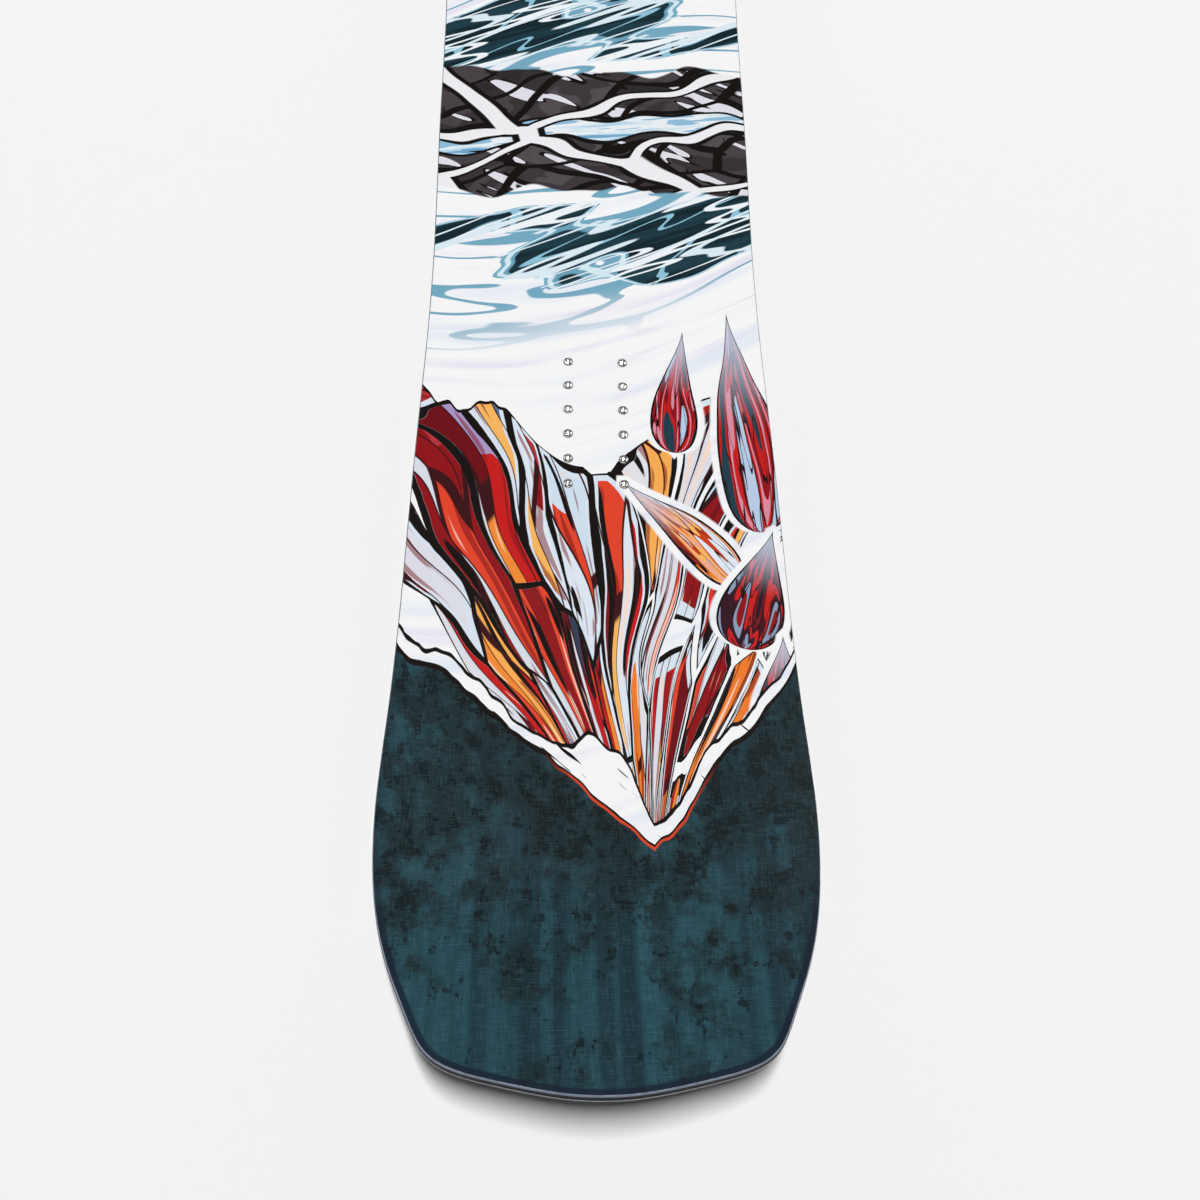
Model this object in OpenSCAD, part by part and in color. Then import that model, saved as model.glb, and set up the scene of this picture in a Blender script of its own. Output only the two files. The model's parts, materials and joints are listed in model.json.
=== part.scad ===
// Snowboard deck without bindings: a pressed sandwich of running base, steel edges, rubber
// foils, glass laminates, a wood core in strips, sidewalls, tip spacers, threaded inserts and
// a topsheet. +X points to the nose, +Y to the left edge and +Z up. The origin lies on the
// floor, under the middle of the deck. All sizes are in millimetres.

/* [Outline] */
// Straight length from tail to nose
board_len = 1451; // [1400:1:1540]
// Width at the waist, over the steel edges
waist_w = 245.3; // [240:0.1:262]
// Radius of the sidecut
sidecut_r = 7150; // [6800:50:8200]
// Height of the grip waves on the sidecut
wave_h = 0.8; // [0:0.1:1.2]
// Length of one grip wave
wave_pitch = 308; // [280:1:340]
// Width across the shoulders, where the tips turn into their ends
shoulder_w = 235.6; // [230:0.1:242]
// Width across the ends, where the blunt end curves begin
end_w = 137; // [130:0.5:145]

/* [Side profile] */
// Radius of the camber between the feet
camber_r = 14000; // [10000:500:20000]
// Half the length of the camber curve
camber_half = 300; // [260:5:320]
// Radius of the rocker outside the feet
rocker_r = 7000; // [6000:500:9000]
// Distance from each end at which the tip starts to turn up
tip_len = 155.5; // [150:0.5:175]
// Radius of the turned-up tips
tip_r = 300; // [280:5:360]

/* [Layers] */
// Thickness of the running base
base_t = 1.4; // [1.2:0.1:1.6]
// Height of the steel edge
edge_h = 1.9; // [1.8:0.1:2.2]
// Width of the steel edge on the running side
edge_w = 2; // [1.8:0.1:2.5]
// Reach of the edge's anchoring flange
flange_w = 6.5; // [6:0.5:8]
// Thickness of the rubber foil on the flange
foil_t = 0.2; // [0.2:0.1:0.4]
// Thickness of each glass laminate
laminate_t = 0.5; // [0.5:0.1:0.8]
// Thickness of the topsheet
topsheet_t = 0.5; // [0.4:0.1:0.6]
// Thickness of the core between the feet
core_mid_t = 6.4; // [6:0.1:7.5]
// Thickness of the core where the tip spacers start
core_tip_t = 1.2; // [1.2:0.1:2]

/* [Core and sidewalls] */
// Width of one core strip
strip_w = 20; // [19:0.5:21]
// Width of a sidewall at its inner face
sidewall_w = 9; // [8:0.5:10]
// Distance from each end at which the core meets the tip spacer
spacer_len = 118; // [110:1:130]

/* [Inserts] */
// Distance from the middle of the deck to the middle of each insert pack
stance_half = 268; // [255:1:275]
// Distance between the two columns of inserts
column_gap = 40; // [40]
// Distance between rows of inserts
row_gap = 20; // [20]
// Rows of inserts in a pack
insert_rows = 6; // [4:2:6]
// Radius of the thread's inner diameter, for an M6 screw
thread_r = 2.5; // [2.5]

/* [Hidden] */
half_len = board_len / 2;
half_waist = waist_w / 2;
laminate_base = edge_h + foil_t;          // underside of the lower laminate over the flange
core_base = laminate_base + laminate_t;   // underside of the core
taper_u = 345;                            // where the core starts to get thinner
station_gap = 40;                         // spacing of sections along the sidecut
profile_gap = 30;                         // spacing of points along the core's profile
bend_n = 10;                              // sections along each tip curve

// Insets of the outer faces from the steel edge, going up: the deck's side leans inwards
foot_in = 0.1;
wall_in = 0.2;
bevel_in = 0.4;
rim_in = 0.6;
top_in = 1.0;
bevel_drop = 0.7;                         // how far below the core's top the bevel starts

// Insert dimensions
flange_r = 8.5;
flange_t = 1.2;
barrel_r = 4.5;
neck_r = 3.5;
mouth_r = 3.1;
mouth_t = 0.6;
cap_r = 6;
cap_t = 0.5;
insert_recess = 0.3;                      // depth of the insert's top below the topsheet
glue_gap = 0.05;
cap_z = core_base + 0.25;
flange_z = cap_z + cap_t + glue_gap;

// ---- Side profile: the underside as tangent arcs, each state being [x, z, slope in degrees] ----

function rad(a) = a * PI / 180;
function deg(a) = a * 180 / PI;

// The state after an arc of the given length and signed curvature
function after_arc(p, arc, k) =
    let (a = p[2] + deg(arc * k))
    [p[0] + (sin(a) - sin(p[2])) / k, p[1] - (cos(a) - cos(p[2])) / k, a];

camber_slope = camber_half / camber_r;
camber_z = camber_half * camber_slope / 2 + rocker_r * pow(camber_slope, 2) / 2;
camber_end = after_arc([0, camber_z, 0], camber_half, -1 / camber_r);
rocker_u = half_len - tip_len;
rocker_end = after_arc(camber_end, rocker_u - camber_half, 1 / rocker_r);

// The state at a distance u along the underside from the middle
function half_profile(u) =
    u <= camber_half ? after_arc([0, camber_z, 0], max(u, 0.001), -1 / camber_r)
    : u <= rocker_u ? after_arc(camber_end, u - camber_half, 1 / rocker_r)
    : after_arc(rocker_end, u - rocker_u, 1 / tip_r);

// A point in space: u along the underside, y across it and h above it, square to it
function at(u, y, h) =
    let (p = half_profile(abs(u)), s = u < 0 ? -1 : 1)
    [s * (p[0] - h * sin(p[2])), y, p[1] + h * cos(p[2])];

// The distance along the underside that lies at a given x
function u_at(x) =
    x <= rocker_end[0] ? x
    : rocker_u + tip_r * rad(asin((x - rocker_end[0]) / tip_r + sin(rocker_end[2])) - rocker_end[2]);

// Core thickness along the deck: even between the feet, then a smooth taper to where it ends
core_u = u_at(half_len - spacer_len);
function ease(t) = t * t * (3 - 2 * t);
function core_t(u) =
    core_tip_t + (core_mid_t - core_tip_t)
    * (1 - ease(min(1, max(0, (abs(u) - taper_u) / (core_u - taper_u)))));

// ---- Outline: half widths over the steel edge, seen from above ----

sidecut_x = half_len - 205.5;
function half_w(x) = half_waist + x * x / (2 * sidecut_r) + wave_h * cos(360 * x / wave_pitch);

function bezier(a, b, c, d, t) =
    pow(1 - t, 3) * a + 3 * pow(1 - t, 2) * t * b + 3 * (1 - t) * t * t * c + pow(t, 3) * d;
function heading(a) = [cos(a), sin(a)];

// The tip: a long curve to the shoulder, a tight one round the corner and a blunt end
sidecut_p = [sidecut_x, half_w(sidecut_x)];
sidecut_a = atan(half_w(sidecut_x + 0.5) - half_w(sidecut_x - 0.5));
shoulder_p = [half_len - 50.5, shoulder_w / 2];
shoulder_a = -25.2;
corner_p = [half_len - 9.9, end_w / 2];
corner_a = -77.3;
end_p = [half_len, 0];

half_plan = concat(
    [for (x = [0 : station_gap : sidecut_x - 1]) [x, half_w(x)]],
    [for (i = [0 : bend_n - 1]) bezier(sidecut_p, sidecut_p + 93 * heading(sidecut_a),
        shoulder_p - 31 * heading(shoulder_a), shoulder_p, i / bend_n)],
    [for (i = [0 : bend_n - 1]) bezier(shoulder_p, shoulder_p + 27 * heading(shoulder_a),
        corner_p - 36 * heading(corner_a), corner_p, i / bend_n)],
    [for (i = [0 : bend_n - 1]) bezier(corner_p, corner_p + 37 * heading(corner_a),
        end_p + [0, 18], end_p, i / bend_n)]
);

// One side of the outline on the underside itself, from the tail to the nose, as [u, y]
rim_line = concat(
    [[-u_at(half_len), 0]],
    [for (i = [len(half_plan) - 1 : -1 : 1]) [-u_at(half_plan[i][0]), half_plan[i][1]]],
    [for (p = half_plan) [u_at(p[0]), p[1]]],
    [[u_at(half_len), 0]]
);
rim_n = len(rim_line);

// The inward direction at a point of the rim, square to it
function inward(i) =
    i == 0 ? [1, 0] : i == rim_n - 1 ? [-1, 0]
    : let (d = rim_line[i + 1] - rim_line[i - 1]) [d[1], -d[0]] / norm(d);
rim = [for (i = [0 : rim_n - 1]) concat(rim_line[i], inward(i))];

// A section point is [inset, height, 1 if it rides on the core's top, or 0]
function place(r, p, side) =
    let (u = r[0] + p[0] * r[2]) at(u, side * (r[1] + p[0] * r[3]), p[1] + p[2] * core_t(u));

inner_rim = [for (i = [1 : rim_n - 2]) rim[i]];

// The stretches of rim beside the core and beyond it. They share the joint, a square section.
joint = [core_u, lookup(core_u, rim_line), 0, -1];
far_joint = [-core_u, joint[1], 0, -1];
core_rim = concat([far_joint], [for (r = rim) if (abs(r[0]) < core_u - 1) r], [joint]);
tip_rim = concat([joint], [for (r = inner_rim) if (r[0] > core_u + 1) r]);

// ---- Sweeps along the rim ----

// Joins equal rings of points into one closed solid. The caps list convex parts of the section.
module skin(rings, caps) {
    m = len(rings[0]);
    n = len(rings);
    walls = [for (i = [0 : n - 2], j = [0 : m - 1])
        let (k = (j + 1) % m)
        [i * m + j, i * m + k, (i + 1) * m + k, (i + 1) * m + j]];
    start = [for (c = caps) [for (j = [len(c) - 1 : -1 : 0]) c[j]]];
    end = [for (c = caps) [for (j = c) (n - 1) * m + j]];
    polyhedron([for (r = rings, p = r) p], concat(walls, start, end));
}

// A layer that spans the deck. Its edge section is listed from the top down.
module layer(edge, caps, stations) {
    m = len(edge);
    skin([for (r = stations) concat(
        [for (j = [0 : m - 1]) place(r, edge[j], -1)],
        [for (j = [m - 1 : -1 : 0]) place(r, edge[j], 1)])], caps);
}

// A strip along the right rim, with its whole section listed from the outer foot upwards
module rim_strip(section, caps, stations) {
    skin([for (r = stations) [for (p = section) place(r, p, -1)]], caps);
}

// The left-hand twin of a right-hand piece
module left() mirror([0, 1, 0]) children();

// ---- Running side ----

module base() {
    color("#1c2023")
        layer([[edge_w, base_t, 0], [edge_w, 0, 0]], [[0, 1, 2, 3]], inner_rim);
}

module steel_edge() {
    color("#b9bcbf")
        rim_strip([[0, 0, 0], [0, edge_h, 0], [flange_w, edge_h, 0], [flange_w, base_t, 0],
            [edge_w, base_t, 0], [edge_w, 0, 0]], [[0, 1, 4, 5], [1, 2, 3, 4]], rim);
}

module rubber_foil() {
    color("#26221f")
        rim_strip([[foot_in, edge_h, 0], [foot_in, laminate_base, 0],
            [flange_w, laminate_base, 0], [flange_w, edge_h, 0]], [[0, 1, 2, 3]], rim);
}

// The lower laminate drapes over the foils and comes down onto the base inside them
module lower_laminate() {
    color("#cfd3c4")
        layer([[foot_in, core_base, 0], [foot_in, laminate_base, 0],
            [flange_w, laminate_base, 0], [flange_w, base_t, 0]],
            [[0, 1, 2, 5, 6, 7], [2, 3, 4, 5]], inner_rim);
}

// ---- Core level ----

// The outer face of the sidewalls and tip spacers, from the top of the core down
wall_edge = [[bevel_in, core_base, 1], [wall_in, core_base - bevel_drop, 1],
    [foot_in, core_base, 0]];

module sidewall() {
    color("#2a2c2f")
        rim_strip([wall_edge[2], wall_edge[1], wall_edge[0], [sidewall_w, core_base, 1],
            [sidewall_w, core_base, 0]], [[0, 1, 2, 3, 4]], core_rim);
}

module tip_spacer() {
    color("#3a3d42")
        layer(wall_edge, [[0, 1, 4, 5], [1, 2, 3, 4]], tip_rim);
}

// The core's side view, as one band as thick as the core is at each point
module core_profile() {
    n = ceil(core_u / profile_gap);
    us = [for (i = [-n : n]) core_u * i / n];
    low = [for (u = us) at(u, 0, core_base)];
    high = [for (i = [len(us) - 1 : -1 : 0]) at(us[i], 0, core_base + core_t(us[i]))];
    polygon([for (p = concat(low, high)) [p[0], p[2]]]);
}

// A slice of the core between two values of y
module core_slice(y_min, y_max) {
    translate([0, y_max, 0]) rotate([90, 0, 0])
        linear_extrude(height = y_max - y_min) core_profile();
}

module core_centre() {
    color("#d8c39a") core_slice(-strip_w / 2, strip_w / 2);
}

// Strips 1 to 4 on the left; strip 1 carries the inserts
module core_strip(i) {
    color(i % 2 == 1 ? "#c9a871" : "#e0cfa9") difference() {
        core_slice((i - 0.5) * strip_w, (i + 0.5) * strip_w);
        if (i == 1) for (pack = [-1, 1]) insert_column(pack) insert_pocket($x);
    }
}

// The outermost strip, whose outer side follows the sidecut to the sidewall
module core_outer_strip() {
    y_in = 4.5 * strip_w;
    side = [for (r = core_rim) place(r, [sidewall_w, core_base, 0], 1)];
    x_out = half_len - spacer_len + 5;
    y_out = joint[1] - sidewall_w;
    color("#c9a871") intersection() {
        core_slice(y_in, half_waist + 30);
        translate([0, 0, -5]) linear_extrude(height = 60)
            polygon(concat([[-x_out, y_in], [-x_out, y_out]], [for (p = side) [p[0], p[1]]],
                [[x_out, y_out], [x_out, y_in]]));
    }
}

// ---- Inserts ----

// Repeats its children at one column of inserts on the left; $x is where each one stands
module insert_column(pack) {
    for (i = [0 : insert_rows - 1]) {
        $x = pack * stance_half + (i - (insert_rows - 1) / 2) * row_gap;
        translate([$x, column_gap / 2, half_profile(abs($x))[1]]) children();
    }
}

// Both columns of a pack
module insert_pack(pack) {
    insert_column(pack) children();
    translate([0, -column_gap, 0]) insert_column(pack) children();
}

function deck_top(x) = core_base + core_t(x) + laminate_t + topsheet_t;

module disc(r, z_min, z_max) translate([0, 0, z_min]) cylinder(r = r, h = z_max - z_min, $fn = 48);

// One flanged insert: flange, barrel in the core, neck through the laminate and the thread
module insert(x) {
    top = deck_top(x) - insert_recess;
    shoulder = core_base + core_t(x) - 3 * glue_gap;
    difference() {
        union() {
            disc(flange_r, flange_z, flange_z + flange_t);
            disc(barrel_r, flange_z, shoulder);
            disc(neck_r, flange_z, top);
        }
        disc(thread_r, flange_z - 1, top + 1);
        translate([0, 0, top - mouth_t])
            cylinder(r1 = thread_r, r2 = mouth_r, h = mouth_t, $fn = 48);
    }
}

module insert_pocket(x) {
    disc(flange_r + glue_gap, core_base - 1, flange_z + flange_t);
    disc(barrel_r + glue_gap, core_base - 1, core_base + core_t(x) + 2);
}

module inserts(pack) color("#c8c9cb") insert_pack(pack) insert($x);

// Plastic caps that keep resin out of the threads from below
module insert_caps(pack) color("#e6e3da") insert_pack(pack) disc(cap_r, cap_z, cap_z + cap_t);

// Clearance holes for the necks of all the inserts
module insert_holes() {
    for (pack = [-1, 1]) insert_pack(pack) disc(neck_r + 2 * glue_gap, core_base, 20);
}

// ---- Upper side ----

module upper_laminate() {
    color("#c4cabb") difference() {
        layer([[rim_in, core_base + laminate_t, 1], [bevel_in, core_base, 1]],
            [[0, 1, 2, 3]], inner_rim);
        insert_holes();
    }
}

module topsheet() {
    color("#24474f") difference() {
        layer([[top_in, core_base + laminate_t + topsheet_t, 1],
            [rim_in, core_base + laminate_t, 1]], [[0, 1, 2, 3]], inner_rim);
        insert_holes();
    }
}

base();
left() steel_edge();  // steel_edge_left
steel_edge();  // steel_edge_right
left() rubber_foil();  // rubber_foil_left
rubber_foil();  // rubber_foil_right
lower_laminate();
left() sidewall();  // sidewall_left
sidewall();  // sidewall_right
tip_spacer();  // tip_spacer_nose
mirror([1, 0, 0]) tip_spacer();  // tip_spacer_tail
core_centre();
for (i = [1 : 4]) {
    core_strip(i);
    left() core_strip(i);
}
core_outer_strip();  // core_left_5
left() core_outer_strip();  // core_right_5
inserts(1);  // inserts_nose
inserts(-1);  // inserts_tail
insert_caps(1);  // insert_caps_nose
insert_caps(-1);  // insert_caps_tail
upper_laminate();
topsheet();
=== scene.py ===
"""A snowboard deck without bindings on a pale studio floor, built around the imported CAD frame.

The CAD's rim and side profile are read from the frame and followed by finer meshes with the
finish of the real thing: a printed gloss topsheet, sanded rims, ground steel edges, threaded
inserts. All lengths are in metres, in the frame's axes: +X to the nose, +Y left, +Z up.
"""
import json
import math

import bmesh
import bpy
import numpy as np
from mathutils import Matrix, Vector


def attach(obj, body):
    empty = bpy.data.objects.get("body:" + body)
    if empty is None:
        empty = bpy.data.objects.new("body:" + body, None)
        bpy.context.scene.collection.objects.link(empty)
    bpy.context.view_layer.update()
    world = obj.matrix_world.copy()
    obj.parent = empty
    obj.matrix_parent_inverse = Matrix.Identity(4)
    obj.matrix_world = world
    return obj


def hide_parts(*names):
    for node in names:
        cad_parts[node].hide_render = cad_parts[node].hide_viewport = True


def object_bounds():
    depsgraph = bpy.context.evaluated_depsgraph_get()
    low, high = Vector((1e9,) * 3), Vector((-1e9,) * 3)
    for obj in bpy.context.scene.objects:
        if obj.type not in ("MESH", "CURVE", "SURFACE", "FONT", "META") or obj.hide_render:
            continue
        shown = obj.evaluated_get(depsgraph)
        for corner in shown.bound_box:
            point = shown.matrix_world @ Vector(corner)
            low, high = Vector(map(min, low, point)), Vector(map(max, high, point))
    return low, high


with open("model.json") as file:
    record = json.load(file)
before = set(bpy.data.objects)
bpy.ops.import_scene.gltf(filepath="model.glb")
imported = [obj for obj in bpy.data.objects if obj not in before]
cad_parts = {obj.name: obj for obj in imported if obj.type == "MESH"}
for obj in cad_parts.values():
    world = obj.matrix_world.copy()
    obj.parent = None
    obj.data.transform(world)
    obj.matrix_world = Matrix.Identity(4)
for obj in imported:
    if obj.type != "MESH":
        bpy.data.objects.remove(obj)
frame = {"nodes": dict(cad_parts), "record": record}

cad_low, cad_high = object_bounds()
NODES = frame["nodes"]
MM = 0.001

# ---- Camera: over the nose, looking down and back along the deck ----

TILT, YAW, ROLL = (math.radians(angle) for angle in (22.224, 3.147, 0.774))
CAMERA_PAST_NOSE, CAMERA_Y, CAMERA_Z = 0.0032, -0.0447, 0.7985
# The focal length and the sensor's width, in millimetres
LENS, SENSOR = 37.362, 36


def turned(a, b, angle):
    """Two directions at right angles, turned by an angle from the first to the second."""
    return a * math.cos(angle) + b * math.sin(angle), b * math.cos(angle) - a * math.sin(angle)


def make_camera():
    right = Vector((0, 1, 0))
    up = Vector((-math.cos(TILT), 0, math.sin(TILT)))
    ahead = Vector((-math.sin(TILT), 0, -math.cos(TILT)))
    right, ahead = turned(right, ahead, -YAW)
    right, up = turned(right, up, ROLL)
    data = bpy.data.cameras.new("camera")
    data.sensor_width = SENSOR
    data.lens = LENS
    data.clip_start, data.clip_end = 0.01, 50
    camera = bpy.data.objects.new("camera", data)
    turn = Matrix((right, up, -ahead)).transposed().to_4x4()
    place = (cad_high.x + CAMERA_PAST_NOSE, CAMERA_Y, CAMERA_Z)
    camera.matrix_world = Matrix.Translation(place) @ turn
    bpy.context.scene.collection.objects.link(camera)
    bpy.context.scene.camera = camera


make_camera()

# ---- The deck's shape, read from the CAD ----


class Curve:
    """A smooth curve through values at rising places, carried on straight beyond its ends."""

    def __init__(self, places, values):
        self.places = np.array(places, float)
        self.values = np.array(values, float)
        self.slopes = np.gradient(self.values, self.places)

    def __call__(self, place):
        i = np.clip(np.searchsorted(self.places, place) - 1, 0, len(self.places) - 2)
        gap = self.places[i + 1] - self.places[i]
        inside = np.clip(place, self.places[0], self.places[-1])
        t = (inside - self.places[i]) / gap
        beyond = (place - inside) * np.where(place < inside, self.slopes[0], self.slopes[-1])
        return (
            (2 * t**3 - 3 * t**2 + 1) * self.values[i]
            + (t**3 - 2 * t**2 + t) * gap * self.slopes[i]
            + (3 * t**2 - 2 * t**3) * self.values[i + 1]
            + (t**3 - t**2) * gap * self.slopes[i + 1]
            + beyond
        )


def lengths(*coordinates):
    """How far along a line of points each point is."""
    steps = np.sqrt(sum(np.diff(c) ** 2 for c in coordinates))
    return np.concatenate(([0], np.cumsum(steps)))


def skin_points(node, side):
    """The left-hand corners of a layer's upper (side 1) or lower (side -1) skin, by x."""
    mesh = NODES[node].data
    found = set()
    for face in mesh.polygons:
        if face.normal.z * side > 0.5 and abs(face.normal.y) < 1e-3:
            found.update(tuple(round(c, 6) for c in mesh.vertices[i].co) for i in face.vertices)
    return np.array(sorted(p for p in found if p[1] > 0))


base_rim = skin_points("base", -1)
middle = int(np.argmin(abs(base_rim[:, 0])))
run = lengths(base_rim[:, 0], base_rim[:, 2])
run -= run[middle]
under_x = Curve(run, base_rim[:, 0])
under_z = Curve(run, base_rim[:, 2])


def lean(u):
    """The slope of the underside, as an angle, at a distance u along it from the middle."""
    e = 0.5 * MM
    return np.arctan2(under_z(u + e) - under_z(u - e), under_x(u + e) - under_x(u - e))


def middle_section(node):
    """A node's left-hand corners on the plane x = 0, as (inset from the outline, height)."""
    found = {
        (round(half_waist - v.co.y, 5), round(v.co.z - base_rim[middle, 2], 5))
        for v in NODES[node].data.vertices
        if abs(v.co.x) < 1e-5 and v.co.y > half_waist / 2
    }
    return sorted(found, key=lambda corner: corner[1])


def outer_corners(node):
    """A node's outer corners on the plane x = 0, from the foot up."""
    section = middle_section(node)
    return [min(c for c in section if c[1] == h) for h in sorted({c[1] for c in section})]


half_waist = max(v.co.y for v in NODES["steel_edge_left"].data.vertices if abs(v.co.x) < 1e-5)
edge_w, base_t = outer_corners("base")[1]
foil_corners = outer_corners("rubber_foil_left")
foot_in, edge_h = foil_corners[0]
foil_top = foil_corners[1][1]
flange_w = max(c[0] for c in middle_section("rubber_foil_left"))
wall_corners = outer_corners("sidewall_left")
wall_w = max(c[0] for c in middle_section("sidewall_left"))
core_base = wall_corners[0][1]
laminate_corners = outer_corners("upper_laminate")
sheet_corners = outer_corners("topsheet")
middle_t = sheet_corners[-1][1]


def measured_thickness():
    """The deck's thickness along it, from the topsheet's upper skin."""
    points = skin_points("topsheet", 1)
    # The rims of the inserts' holes are left out
    packs_end, packs_side = 350 * MM, 60 * MM
    points = points[(abs(points[:, 0]) > packs_end) | (points[:, 1] > packs_side)]
    u = np.interp(points[:, 0], base_rim[:, 0], run)
    # Each pass brings u nearer to the place on the underside that a point stands square over
    for _ in range(4):
        a = lean(u)
        dx, dz = points[:, 0] - under_x(u), points[:, 2] - under_z(u)
        u, h = u + dx * np.cos(a) + dz * np.sin(a), dz * np.cos(a) - dx * np.sin(a)
    keep = np.concatenate(([True], np.diff(u) > 2 * MM))
    curve = Curve(u[keep], h[keep])
    return lambda u: curve(np.clip(u, curve.places[0], curve.places[-1]))


thickness = measured_thickness()


class Rim:
    """Stations along the left rim: distance u along the underside, y, and the inward normal."""

    def __init__(self, u, y, inward_u, inward_y):
        self.u, self.y, self.inward_u, self.inward_y = u, y, inward_u, inward_y

    def part(self, keep):
        return Rim(self.u[keep], self.y[keep], self.inward_u[keep], self.inward_y[keep])


def outline():
    """The steel edges' outline, as stations that lie closer together round the tips."""
    last_a = lean(run[-1])
    tip_u = run[-1] + (cad_high.x - base_rim[-1, 0]) / math.cos(last_a) - edge_w
    u = np.concatenate(([-tip_u], run, [tip_u]))
    y = np.concatenate(([0], base_rim[:, 1], [0]))
    s = lengths(u, y)
    curve_u, curve_y = Curve(s, u), Curve(s, y)
    # The ends run square across the deck
    curve_u.slopes[[0, -1]] = 0
    curve_y.slopes[[0, -1]] = (1, -1)
    half, straight = s[-1] / 2, 500 * MM
    flank_stations, turn_stations = 126, 111
    flank = np.linspace(-straight, straight, flank_stations)
    turn = np.linspace(straight, half, turn_stations)[1:]
    t = np.concatenate((half - turn[::-1], half + flank, half + turn))
    e = 0.2 * MM
    low, high = np.clip(t - e, 0, s[-1]), np.clip(t + e, 0, s[-1])
    du, dy = curve_u(high) - curve_u(low), curve_y(high) - curve_y(low)
    size = np.hypot(du, dy)
    inward_u, inward_y = dy / size, -du / size
    return Rim(
        curve_u(t) - edge_w * inward_u, curve_y(t) - edge_w * inward_y, inward_u, inward_y
    )


rim = outline()
rim.y[[0, -1]] = rim.inward_y[[0, -1]] = 0
core_u = max(
    np.interp(v.co.x, base_rim[:, 0], run) for v in NODES["core_centre"].data.vertices
)


def at(u, y, height):
    """Points in space: u along the underside, y across it and height above it."""
    a = lean(u)
    return np.stack(
        [under_x(u) - height * np.sin(a), y + 0 * u, under_z(u) + height * np.cos(a)], axis=-1
    )


def rim_points(stations, corner, side):
    """A line of points along the rim at an (inset, height) corner of the middle section."""
    inset, height = corner
    u = stations.u + inset * stations.inward_u
    y = side * (stations.y + inset * stations.inward_y)
    # Corners above the core's underside move with the deck's thickness
    rides = height > core_base + 0.1 * MM
    return at(u, y, height + rides * (thickness(u) - middle_t))


# ---- Meshes ----

SHARP = math.radians(25)


def new_piece(name, mesh, *materials):
    for material in materials:
        mesh.materials.append(material)
    mesh.shade_smooth()
    mesh.set_sharp_from_angle(angle=SHARP)
    piece = bpy.data.objects.new(name, mesh)
    bpy.context.scene.collection.objects.link(piece)
    return piece


def sweep(name, lines, marks):
    """A closed mesh through lines of points: each is one corner of the section, with its mark."""
    rings = np.stack(lines, axis=1)
    n, m = rings.shape[:2]
    faces = [
        (i * m + j, i * m + (j + 1) % m, (i + 1) * m + (j + 1) % m, (i + 1) * m + j)
        for i in range(n - 1)
        for j in range(m)
    ]
    # An end where the left and the right meet on the centre line needs no face
    if abs(rings[0, :, 1]).max() > 1e-6:
        faces.append(tuple(reversed(range(m))))
    if abs(rings[-1, :, 1]).max() > 1e-6:
        faces.append(tuple(range((n - 1) * m, n * m)))
    mesh = bpy.data.meshes.new(name)
    mesh.from_pydata(rings.reshape(-1, 3).tolist(), [], faces)
    mesh.attributes.new("mark", "FLOAT", "POINT").data.foreach_set("value", marks * n)
    tidy = bmesh.new()
    tidy.from_mesh(mesh)
    bmesh.ops.remove_doubles(tidy, verts=tidy.verts, dist=1e-6)
    bmesh.ops.recalc_face_normals(tidy, faces=tidy.faces)
    tidy.to_mesh(mesh)
    tidy.free()
    return mesh


def rim_strip(name, corners, stations, side):
    """A strip along one rim, marked with the heights of its section's corners."""
    lines = [rim_points(stations, c, side) for c in corners]
    return sweep(name, lines, [c[1] / MM for c in corners])


def layer(name, corners, stations):
    """A layer across the deck, by its outer corners from the foot up, marked with their heights."""
    left = [rim_points(stations, c, 1) for c in corners]
    right = [rim_points(stations, c, -1) for c in reversed(corners)]
    marks = [c[1] / MM for c in corners]
    return sweep(name, left + right, marks + marks[::-1])


# ---- Materials ----


def srgb(code):
    """A colour from its usual hexadecimal code, made linear."""
    parts = [int(code[i : i + 2], 16) / 255 for i in (1, 3, 5)]
    return [c / 12.92 if c <= 0.04045 else ((c + 0.055) / 1.055) ** 2.4 for c in parts] + [1]


class Num:
    """A value that varies over a surface: a shader node's output, with arithmetic."""

    def __init__(self, paint, socket):
        self.paint, self.socket = paint, socket

    def __add__(self, b):
        return self.paint.math("ADD", self, b)

    def __sub__(self, b):
        return self.paint.math("SUBTRACT", self, b)

    def __rsub__(self, b):
        return self.paint.math("SUBTRACT", b, self)

    def __mul__(self, b):
        return self.paint.math("MULTIPLY", self, b)

    def __truediv__(self, b):
        return self.paint.math("DIVIDE", self, b)

    def __pow__(self, b):
        return self.paint.math("POWER", self, b)

    def __abs__(self):
        return self.paint.math("ABSOLUTE", self)

    def __gt__(self, b):
        return self.paint.math("GREATER_THAN", self, b)

    def __lt__(self, b):
        return self.paint.math("LESS_THAN", self, b)

    __radd__, __rmul__ = __add__, __mul__


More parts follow.
